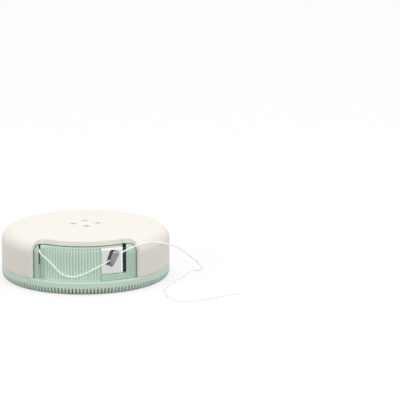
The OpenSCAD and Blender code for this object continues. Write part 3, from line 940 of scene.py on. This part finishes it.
def mouldedBioplastic(name, look):
    # Injection-moulded plant-based plastic: a soft satin skin with tiny darker flecks of filler in it
    material, tree = newMaterial(name)
    place = addNode(tree, "ShaderNodeTexCoord").outputs["Object"]
    cloud = addNode(tree, "ShaderNodeTexNoise", {"Scale": perMetre(look["cloud"]), "Detail": 3},
                    {"Vector": place})
    drift = addNode(tree, "ShaderNodeTexNoise", {"Scale": perMetre(0.5), "Detail": 1}, {"Vector": place})
    fleck = addNode(tree, "ShaderNodeTexVoronoi", {"Scale": perMetre(look["fleckApart"])},
                    {"Vector": place})
    size = look["fleckSize"]
    isFleck = addNode(tree, "ShaderNodeMapRange",
                      {"From Min": size, "From Max": size * 0.4, "To Min": 0, "To Max": 1},
                      {"Value": fleck.outputs["Distance"]})
    some = addNode(tree, "ShaderNodeMapRange",
                   {"From Min": 0.48, "From Max": 0.6, "To Min": 0, "To Max": 1},
                   {"Value": drift.outputs["Fac"]})
    strength = addNode(tree, "ShaderNodeMath", {"operation": "MULTIPLY"},
                       {0: isFleck.outputs["Result"], 1: some.outputs["Result"]})
    both = addNode(tree, "ShaderNodeMix", {"data_type": "RGBA", "B": shade(look["fleck"])},
                   {"Factor": strength.outputs[0], "A": twoTones(tree, look, cloud.outputs["Fac"])})
    grain = addNode(tree, "ShaderNodeTexNoise", {"Scale": perMetre(look["grain"]), "Detail": 2},
                    {"Vector": place})
    bump = addNode(tree, "ShaderNodeBump", {"Strength": look["bump"], "Distance": 0.02 * mm},
                   {"Height": grain.outputs["Fac"]})
    surface = addNode(tree, "ShaderNodeBsdfPrincipled",
                      {"IOR": 1.46, "Specular IOR Level": look["specular"]},
                      {"Base Color": both.outputs["Result"],
                       "Roughness": spread(tree, look["roughness"], 0.04, cloud.outputs["Fac"]),
                       "Normal": bump.outputs["Normal"]})
    addNode(tree, "ShaderNodeOutputMaterial", None, {"Surface": surface.outputs["BSDF"]})
    return material


def rolledStainless(name, look):
    # Rolled stainless sheet: fine lines along the strip, a soft bright grey
    material, tree = newMaterial(name)
    place = addNode(tree, "ShaderNodeTexCoord").outputs["Object"]
    stretch = addNode(tree, "ShaderNodeMapping", {"Scale": (1, 1, look["stretch"])}, {"Vector": place})
    lines = addNode(tree, "ShaderNodeTexNoise", {"Scale": perMetre(look["line"]), "Detail": 2},
                    {"Vector": stretch.outputs["Vector"]})
    bump = addNode(tree, "ShaderNodeBump", {"Strength": 0.25, "Distance": 0.004 * mm},
                   {"Height": lines.outputs["Fac"]})
    surface = addNode(tree, "ShaderNodeBsdfPrincipled", {"Metallic": 1},
                      {"Base Color": twoTones(tree, look, lines.outputs["Fac"]),
                       "Roughness": spread(tree, look["roughness"], 0.06, lines.outputs["Fac"]),
                       "Normal": bump.outputs["Normal"]})
    addNode(tree, "ShaderNodeOutputMaterial", None, {"Surface": surface.outputs["BSDF"]})
    return material


def waxedThread(name, look):
    # Waxed multifilament thread: pale, with fine fibres along its plies, a soft sheen of wax and an
    # emission that is a painted glow
    material, tree = newMaterial(name)
    place = addNode(tree, "ShaderNodeTexCoord").outputs["UV" if look["followsUv"] else "Object"]
    stretch = addNode(tree, "ShaderNodeMapping", {"Scale": look["stretch"]}, {"Vector": place})
    fibres = addNode(tree, "ShaderNodeTexNoise", {"Scale": look["scale"], "Detail": look["detail"]},
                     {"Vector": stretch.outputs["Vector"]})
    bump = addNode(tree, "ShaderNodeBump", {"Strength": 0.3, "Distance": 0.02 * mm},
                   {"Height": fibres.outputs["Fac"]})
    surface = addNode(tree, "ShaderNodeBsdfPrincipled",
                      {"Roughness": 0.42, "IOR": 1.44, "Sheen Weight": 0.15,
                       "Transmission Weight": look["clear"], "Emission Color": shade(look["light"]),
                       "Emission Strength": look["paintedGlow"]},
                      {"Base Color": twoTones(tree, look, fibres.outputs["Fac"]),
                       "Normal": bump.outputs["Normal"]})
    addNode(tree, "ShaderNodeOutputMaterial", None, {"Surface": surface.outputs["BSDF"]})
    return material


def give(piece, *materials):
    addSlots(piece, len(materials) - len(piece.data.materials))
    for index, material in enumerate(materials):
        piece.data.materials[index] = material


# Colours and finishes. Sizes of clouds, flecks, grain and lines are in millimetres.
boneLook = {
    "light": "#FCF7EE", "dark": "#F6F0E5", "cloud": 1.2,
    "fleck": "#D6CBB9", "fleckApart": 0.7, "fleckSize": 0.16,
    "roughness": 0.52, "specular": 0.4, "grain": 0.22, "bump": 0.35,
}
rimLook = {
    "light": "#DDF2E3", "dark": "#D3EADA", "cloud": 1.2,
    "fleck": "#B8D0C0", "fleckApart": 0.9, "fleckSize": 0.12,
    "roughness": 0.48, "specular": 0.4, "grain": 0.25, "bump": 0.25,
}
# The drum's mint is a darker copy of the rim's: partly its own deeper tone, partly painted shade of the
# window's recess
drumLook = dict(rimLook, light="#C7DDCE", dark="#BDD5C5", fleck="#A5BDAE")
# The ribs' mint is a lighter copy of the drum's: painted highlight, with more real gloss
ribLitLook = dict(rimLook, light="#E3F6E8", dark="#DBF0E1", specular=0.7, roughness=0.38)
pulpLook = {
    "light": "#E9E2D3", "dark": "#DDD4C1", "cloud": 0.8,
    "fleck": "#B9AC93", "fleckApart": 0.6, "fleckSize": 0.22,
    "roughness": 0.7, "specular": 0.3, "grain": 0.2, "bump": 0.5,
}
sheetLook = {"light": "#DCDBDC", "dark": "#D4D3D4", "line": 0.12, "stretch": 0.05, "roughness": 0.5}
# Near-white steel for the sheet's right edge: painted highlight
edgeHighlightLook = dict(sheetLook, light="#FAFAFA", dark="#F2F2F2", roughness=0.2)
# The tang's steel is darker than the sheet's: painted shade
tangLook = {"light": "#9C9C99", "dark": "#8A8A87", "line": 0.1, "stretch": 0.2, "roughness": 0.4}
# The free thread's emission is a painted glow that lifts it against the white
threadLook = {
    "light": "#F8FCF8", "dark": "#ECF6EE", "clear": 0.35, "paintedGlow": 0.15,
    "followsUv": True, "stretch": (14, 0.8, 1), "scale": 3, "detail": 2,
}
woundLook = {
    "light": "#F2FAF4", "dark": "#D3E4D9", "clear": 0, "paintedGlow": 0,
    "followsUv": False, "stretch": (0.3, 0.3, 3), "scale": perMetre(0.5), "detail": 3,
}

give(coverPiece, mouldedBioplastic("boneBioplastic", boneLook))
give(trayPiece, mouldedBioplastic("mintBioplastic", rimLook))
give(drumPiece, mouldedBioplastic("deepShadedMintBioplastic", drumLook),
     mouldedBioplastic("polishedMintPaintedLight", ribLitLook))
give(spoolPiece, mouldedBioplastic("mouldedPulp", pulpLook))
give(cutterPiece, rolledStainless("rolledStainlessSheet", sheetLook),
     rolledStainless("shadedSteelTang", tangLook), rolledStainless("stainlessEdgePaintedHighlight", edgeHighlightLook))
threadMaterial = waxedThread("waxedThread", threadLook)
give(freePiece, threadMaterial)
give(leadPiece, threadMaterial)
give(woundPiece, waxedThread("woundWaxedThread", woundLook))
print("materials done")


studio = {
    "floorSize": 6,
    "paperTone": "#FFFFFF",
    "bounceTone": "#A8A8A8",  # what the paper gives back to the object
    "shadowShare": 0.25,  # of the floor's look that is real light, the rest is plain white
    "world": 0.62,
    "lamps": {  # place, size and power
        "overheadSoftbox": ((0, 0.1, 1.5), 1.4, 7.6),
        "leftSoftbox": ((-1.1, -0.9, 0.75), 0.7, 3.4),
        "rightSoftbox": ((1.1, -0.9, 0.75), 0.7, 4),
    },
}

deselectAll()
bpy.ops.mesh.primitive_plane_add(size=studio["floorSize"], location=(0, 0, 0))
floor = bpy.context.object
floor.name = "studioFloor"


def seenRays(tree):
    # 1 for rays that come from the camera, a mirror or glass
    path = addNode(tree, "ShaderNodeLightPath")
    first = addNode(tree, "ShaderNodeMath", {"operation": "MAXIMUM"},
                    {0: path.outputs["Is Camera Ray"], 1: path.outputs["Is Glossy Ray"]})
    return addNode(tree, "ShaderNodeMath", {"operation": "MAXIMUM"},
                   {0: first.outputs[0], 1: path.outputs["Is Transmission Ray"]}).outputs[0]


# Matt white paper: even and white to the eye, with a trace of the object's shadow
floorMaterial, tree = newMaterial("mattPaper")
seen = seenRays(tree)
tone = addNode(tree, "ShaderNodeMix",
               {"data_type": "RGBA", "A": shade(studio["bounceTone"]), "B": shade(studio["paperTone"])},
               {"Factor": seen})
matt = addNode(tree, "ShaderNodeBsdfDiffuse", None, {"Color": tone.outputs["Result"]})
white = addNode(tree, "ShaderNodeEmission", {"Color": (1, 1, 1, 1), "Strength": 1})
share = addNode(tree, "ShaderNodeMath", {"operation": "MULTIPLY", 1: 1 - studio["shadowShare"]}, {0: seen})
paper = addNode(tree, "ShaderNodeMixShader", None,
                {"Fac": share.outputs[0], 1: matt.outputs[0], 2: white.outputs[0]})
addNode(tree, "ShaderNodeOutputMaterial", None, {"Surface": paper.outputs[0]})
give(floor, floorMaterial)

world = bpy.data.worlds.new("studioWorld")
bpy.context.scene.world = world
world.use_nodes = True
tree = world.node_tree
tree.nodes.clear()
soft = addNode(tree, "ShaderNodeBackground", {"Color": (1, 1, 1, 1), "Strength": studio["world"]})
white = addNode(tree, "ShaderNodeBackground", {"Color": (1, 1, 1, 1), "Strength": 1})
mixed = addNode(tree, "ShaderNodeMixShader", None,
                {"Fac": seenRays(tree), 1: soft.outputs[0], 2: white.outputs[0]})
addNode(tree, "ShaderNodeOutputWorld", None, {"Surface": mixed.outputs[0]})

for name, (place, size, power) in studio["lamps"].items():
    aim = Vector(place).to_track_quat("Z", "Y").to_euler()
    bpy.ops.object.light_add(type="AREA", location=place, rotation=aim)
    lamp = bpy.context.object
    lamp.name = name
    lamp.data.shape = "SQUARE"
    lamp.data.size = size
    lamp.data.energy = power
bpy.context.scene.view_settings.view_transform = "Standard"
print("floor and light done")
